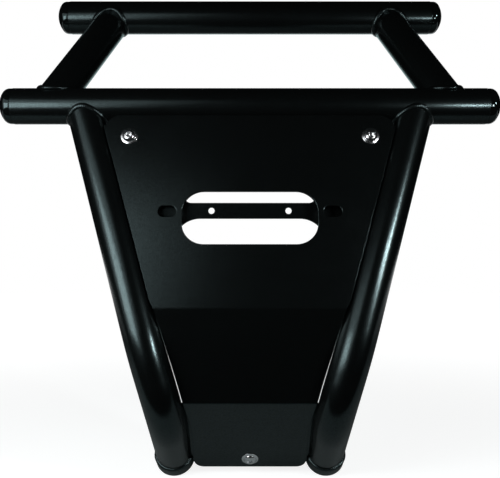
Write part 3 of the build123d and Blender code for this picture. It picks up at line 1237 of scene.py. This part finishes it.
@dataclass(frozen=True)
class FlangeNut:
    """A hexagon nut with a sloped flange."""

    thread: Thread
    # The nut's thread stands off the screw's by this
    play: float = 0.1 * MM
    flats: float = 13.0 * MM
    height: float = 7.9 * MM
    flange_radius: float = 8.9 * MM
    # The flange's rim is this high, and from it the back slopes in by the width, down to the height
    rim_height: float = 1.1 * MM
    slope_width: float = 1.2 * MM
    slope_height: float = 1.5 * MM
    rim_rounds: tuple[float, float] = (0.3 * MM, 0.4 * MM)
    hexagon_from: float = 1.7 * MM
    hexagon_rows: int = 24
    # The bore's mouths are wider by this, and its thread stops short of them
    mouth_widening: float = 0.5 * MM
    mouth_margin: float = 0.4 * MM
    bore_rows: int = 60
    columns: int = 96

    def surface(self, seat: Seat, top: float) -> np.ndarray:
        """The nut's surface, from the bore's mouth over the flange and hexagon and up the bore.

        On the hexagon the radius is the smaller of the flats' and a cone that bevels the corners,
        which rises by the square root of 3 for each unit of height. In the bore it is the screw's
        thread plus the play, so that the two fit.

        Args:
            seat: the middle of the face that the screw's head rests on.
            top: the height of the nut's own seat.

        Returns:
            The surface's points.
        """
        angle = round_angles(self.columns)
        mouth = self.thread.crest + self.play + self.mouth_widening
        bottom = top - self.height
        corners = ((mouth, 0.0),
                   (self.flange_radius, 0.0),
                   (self.flange_radius, -self.rim_height),
                   (self.flange_radius - self.slope_width, -self.slope_height))
        rim = rounded(np.array(corners), self.rim_rounds)
        outside = np.linspace(top - self.hexagon_from, bottom, self.hexagon_rows)[:, None]
        cone = self.flats / 2 + (outside - bottom) * math.sqrt(3)
        inside = np.linspace(bottom + self.mouth_margin, top - self.mouth_margin,
                             self.bore_rows)[:, None]
        bore = self.thread.radius(inside, angle) + self.play
        return np.concatenate((seat.carry(rim[:, :1], top + rim[:, 1:], angle),
                               seat.carry(np.minimum(hexagon(self.flats, angle), cone), outside, angle),
                               seat.carry(mouth, bottom, angle),
                               seat.carry(bore, inside, angle)))


@dataclass
class Fasteners:
    """The three flanged button-head screws and their flange nuts."""

    screw_plate: bpy.types.Material
    nut_plate: bpy.types.Material
    tubes: TubeFrame
    screw_x: float = 124.4 * MM
    screw_down: float = 40.0 * MM
    plate_front: float = 13.7 * MM
    low_screw_rise: float = 13.8 * MM
    # The sheet and the bracket behind it, which the screw clamps
    grip: float = 7.2 * MM
    # How far the screw reaches past its nut
    spare: float = 2.0 * MM
    screw: FlangedScrew = FlangedScrew()
    nut: FlangeNut = FlangeNut(thread=FlangedScrew.thread)

    def build(self) -> None:
        """Adds the screws and their nuts."""
        tubes = self.tubes
        upper = Seat(tubes.front_axis + self.screw_x * SIDEWAYS - self.screw_down * tubes.upper_rise
                     + self.plate_front * tubes.upper_normal, tubes.upper_normal, SIDEWAYS)
        low = Seat(tubes.plate_end + self.low_screw_rise * tubes.low_rise, tubes.low_normal, SIDEWAYS)
        places = {side.word: upper.flip(side) for side in Side} | {"lower": low}
        length = self.grip + self.nut.height + self.spare
        for word, seat in places.items():
            screw = shell(f"{word}_flanged_screw", self.screw.surface(seat, length), ring=False)
            settle(screw, self.screw_plate, (f"{word}_bolt",))
            nut = shell(f"{word}_flange_nut", self.nut.surface(seat, -self.grip), ring=True)
            settle(nut, self.nut_plate, (f"{word}_nut",))


@dataclass(frozen=True)
class SoftBox:
    """One rectangular studio lamp that faces the origin.

    Its nested panels add up, so that it is brightest in its middle and fades to its rim.
    """

    name: str
    # To the right of the bumper's front, and up, in degrees
    azimuth: float
    elevation: float
    distance: float
    width: float
    height: float
    # What the middle of the lamp's face shows, where 1 is white
    brightness: float
    panels: int = 1

    def build(self) -> None:
        """Makes the panels. A panel's power is pi times its area times its brightness."""
        turn, rise = math.radians(self.azimuth), math.radians(self.elevation)
        back = vec(math.sin(turn) * math.cos(rise), -math.cos(turn) * math.cos(rise), math.sin(rise))
        across = unit(np.cross(UP, back))
        place = np.eye(4)
        place[:3] = np.stack((across, np.cross(back, across), back, back * self.distance), axis=1)
        for number in range(self.panels):
            share = 1 - number / self.panels
            light = bpy.data.lights.new(f"{self.name} {number}", "AREA")
            light.shape = "RECTANGLE"
            light.size, light.size_y = self.width * share, self.height * share
            light.energy = math.pi * light.size * light.size_y * self.brightness / self.panels
            lamp = bpy.data.objects.new(light.name, light)
            lamp.matrix_world = Matrix(place.tolist())
            lamp.visible_camera = False
            bpy.context.scene.collection.objects.link(lamp)


@dataclass
class Studio:
    """A white cove behind the bumper, a dark room in front of it, soft lamps and the camera."""

    floor_height: float
    camera_place: tuple[float, float, float] = (0.0, -716.6 * MM, -28.7 * MM)
    sensor_width: float = 36.0
    focal_pixels: float = 700.0
    image_width: float = 500.0
    floor_front: float = -0.11
    floor_back: float = 2.5
    floor_half_width: float = 1.6
    paper: str = "#a8b0b0"
    white: str = "#ffffff"
    # Mirrors show the paper's glow from the first of these distances on, and whole at the second. Nearer
    # the bumper they show the paper without it, a painted shade in the bumper's reflections
    mirror_fade: tuple[float, float] = (0.8, 1.8)
    # To the eye the glow rises from the first strength to the second over these distances
    eye_fade: tuple[float, float] = (0.3, 1.1)
    eye_glow: tuple[float, float] = (0.85, 1.0)
    # What the bumper mirrors of the cove: its colour, how far round it reaches and how bright it is
    cove: str = "#d6f4f4"
    cove_fade: tuple[float, float] = (0.88, 1.0)
    cove_glow: tuple[float, float] = (0.005, 1.0)
    lamps: tuple[SoftBox, ...] = (
        SoftBox("left soft box", azimuth=-46.0, elevation=13.0, distance=0.65,
                width=0.66, height=0.48, brightness=5.0, panels=5),
        SoftBox("left lamp", azimuth=-46.0, elevation=7.0, distance=0.65,
                width=0.34, height=0.26, brightness=17.0, panels=3),
        SoftBox("left fill", azimuth=-24.0, elevation=24.0, distance=0.65,
                width=0.30, height=0.26, brightness=0.9, panels=3),
        SoftBox("right strip", azimuth=49.8, elevation=12.8, distance=1.13,
                width=0.05, height=0.14, brightness=170.0),
        SoftBox("near right lamp", azimuth=46.7, elevation=9.7, distance=0.474,
                width=0.03, height=0.045, brightness=90.0),
    )

    def build(self) -> None:
        """Makes the floor, the world, the lamps and the camera."""
        self.add_floor()
        self.add_world()
        for lamp in self.lamps:
            lamp.build()
        self.add_camera()

    def add_floor(self) -> None:
        """Makes the floor, a sheet of paper that fades into the white cove behind it."""
        mesh = bpy.data.meshes.new("floor")
        x, z = self.floor_half_width, self.floor_height
        corners = [(-x, self.floor_front, z), (x, self.floor_front, z),
                   (x, self.floor_back, z), (-x, self.floor_back, z)]
        mesh.from_pydata(corners, [], [(0, 1, 2, 3)])
        floor = bpy.data.objects.new("floor", mesh)
        bpy.context.scene.collection.objects.link(floor)
        mesh.materials.append(self.paper_material())

    def paper_material(self) -> bpy.types.Material:
        """Makes the floor's material: matt paper that glows to the eye, and in mirrors far off only. The
        glow missing near the bumper is a painted shade in its reflections.

        Returns:
            The new material.
        """
        material = empty_material("matt pale grey paper")
        tree = material.node_tree
        place = add_node(tree, "ShaderNodeTexCoord").outputs["Object"]
        middle = {"Location": (0.0, 0.0, -self.floor_height)}
        centred = add_node(tree, "ShaderNodeMapping", middle, {"Vector": place}).outputs["Vector"]
        away = add_node(tree, "ShaderNodeVectorMath", {"operation": "LENGTH"},
                        {0: centred}).outputs["Value"]
        path = add_node(tree, "ShaderNodeLightPath").outputs
        mirrored = add_math(tree, "MAXIMUM", path["Is Glossy Ray"], path["Is Transmission Ray"])
        # Near the bumper mirrors get no glow, so the floor they show there is darker: a painted shade in
        # the reflections
        mirrored = add_math(tree, "MULTIPLY", mirrored, add_fade(tree, away, self.mirror_fade))
        seen = add_math(tree, "MAXIMUM", mirrored, path["Is Camera Ray"])
        strength = add_fade(tree, away, self.eye_fade, self.eye_glow)
        glow = add_node(tree, "ShaderNodeEmission", {"Color": linear(self.white)},
                        {"Strength": strength}).outputs[0]
        paper = add_node(tree, "ShaderNodeBsdfDiffuse", {"Color": linear(self.paper)}).outputs[0]
        both = add_node(tree, "ShaderNodeAddShader", links={0: paper, 1: glow}).outputs[0]
        mix = add_node(tree, "ShaderNodeMixShader", links={0: seen, 1: paper, 2: both}).outputs[0]
        add_node(tree, "ShaderNodeOutputMaterial", links={"Surface": mix})
        return material

    def add_world(self) -> None:
        """Makes the world: white to the eye, and to all else pale behind the bumper only."""
        world = bpy.data.worlds.new("white cove")
        bpy.context.scene.world = world
        world.use_nodes = True
        tree = world.node_tree
        tree.nodes.clear()
        way = add_node(tree, "ShaderNodeTexCoord").outputs["Generated"]
        split = add_node(tree, "ShaderNodeSeparateXYZ", links={0: way}).outputs["Y"]
        behind = add_fade(tree, split, self.cove_fade, self.cove_glow)
        eye = add_node(tree, "ShaderNodeLightPath").outputs["Is Camera Ray"]
        cove = add_node(tree, "ShaderNodeBackground", {"Color": linear(self.cove)},
                        {"Strength": behind}).outputs[0]
        white = add_node(tree, "ShaderNodeBackground",
                         {"Color": linear(self.white), "Strength": 1.0}).outputs[0]
        mix = add_node(tree, "ShaderNodeMixShader", links={0: eye, 1: cove, 2: white}).outputs[0]
        add_node(tree, "ShaderNodeOutputWorld", links={"Surface": mix})

    def add_camera(self) -> None:
        """Makes the camera: level, square to the bumper's front."""
        data = bpy.data.cameras.new("camera")
        data.sensor_width = self.sensor_width
        data.lens = self.focal_pixels * self.sensor_width / self.image_width
        camera = bpy.data.objects.new("camera", data)
        camera.location = self.camera_place
        camera.rotation_euler = (math.pi / 2, 0.0, 0.0)
        bpy.context.scene.collection.objects.link(camera)
        bpy.context.scene.camera = camera


def plain_box(corners: Iterable[Iterable[float]]) -> list[list[float]]:
    """A box's two corners as plain lists."""
    return [[float(value) for value in corner] for corner in corners]


def main() -> None:
    """Builds every sub-assembly in order."""
    logging.basicConfig(level=logging.INFO, format="%(message)s")
    bpy.context.scene.view_settings.view_transform = "Standard"
    coat = PowderCoat().build()
    plastic = MouldedPlastic().build()
    bright = ZincPlate("bright zinc plate", ("#c8ccd0", "#eceeef"), roughness=(0.14, 0.26)).build()
    dull = ZincPlate("dull zinc plate", ("#a3a49f", "#c6c6c0"), roughness=(0.30, 0.45)).build()
    tubes = TubeFrame(coat)
    tubes.build()
    SheetWork(coat, tubes).build()
    EndCaps(plastic, tubes).build()
    Fasteners(bright, dull, tubes).build()
    Studio(floor_height=plain_box(CAD_BOX)[0][2]).build()


if __name__ == "__main__":
    main()
